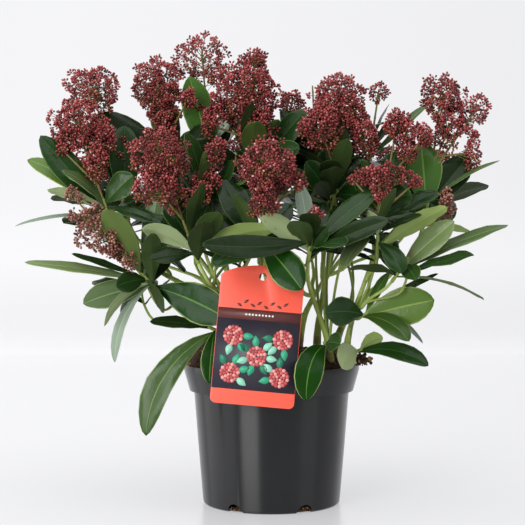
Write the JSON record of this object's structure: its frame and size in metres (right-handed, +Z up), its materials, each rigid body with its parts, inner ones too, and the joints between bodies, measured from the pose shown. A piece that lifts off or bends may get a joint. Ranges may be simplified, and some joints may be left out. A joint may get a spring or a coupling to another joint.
{
  "type": "potted skimmia shrub",
  "caption": "Evergreen skimmia shrub in bud, with many upright stems, whorled leaves and red panicles, standing in a round black nursery pot with a card label on its rim.",
  "frame": {"origin": "middle of the pot's flat underside, on the ground", "axes": "+Z up along the pot's axis, -Y towards the side that carries the label, +X to the right of it"},
  "size_m": [0.4653, 0.3539, 0.465],
  "materials": {
    "pot_plastic": "satin moulded black polypropylene",
    "peat": "rough damp peat crumb",
    "label_card": "satin printed plastic card",
    "bark": "smooth yellow-green young bark, brown and woody at the foot",
    "foliage": "glossy dark green leaves with paler undersides, and dull red buds"
  },
  "bodies": {
    "root": {"bough_back_mid_left": "bark", "bough_back_mid_right": "bark", "bough_back_right": "bark", "bough_back_top": "bark", "bough_front_mid": "bark", "bough_inner_left": "bark", "bough_left_back": "bark", "bough_left_top": "bark", "bough_mid_back": "bark", "bough_right_back": "bark", "bough_right_front": "bark", "bough_right_low": "bark", "bough_top": "bark", "label": "label_card", "peat": "peat", "pot": "pot_plastic", "shoot_back_left": "foliage", "shoot_back_mid_left": "foliage", "shoot_back_mid_right": "foliage", "shoot_back_right": "foliage", "shoot_back_right_low": "foliage", "shoot_back_top": "foliage", "shoot_front_left": "foliage", "shoot_front_mid": "foliage", "shoot_front_right": "foliage", "shoot_inner_left": "foliage", "shoot_left": "foliage", "shoot_left_back": "foliage", "shoot_left_low": "foliage", "shoot_left_top": "foliage", "shoot_mid_back": "foliage", "shoot_mid_left": "foliage", "shoot_mid_right": "foliage", "shoot_right_back": "foliage", "shoot_right_front": "foliage", "shoot_right_low": "foliage", "shoot_right_mid": "foliage", "shoot_right_top": "foliage", "shoot_top": "foliage", "shoot_top_mid": "foliage", "sprout_front": "foliage", "sprout_left": "foliage", "sprout_right": "foliage", "sprout_right_low": "foliage", "stem_back_left": "bark", "stem_back_right": "bark", "stem_centre": "bark", "stem_front": "bark", "stem_left": "bark", "stem_left_front": "bark", "stem_left_low": "bark", "stem_mid_left": "bark", "stem_mid_right": "bark", "stem_right": "bark", "stem_right_front": "bark"}
  },
  "joints": []
}
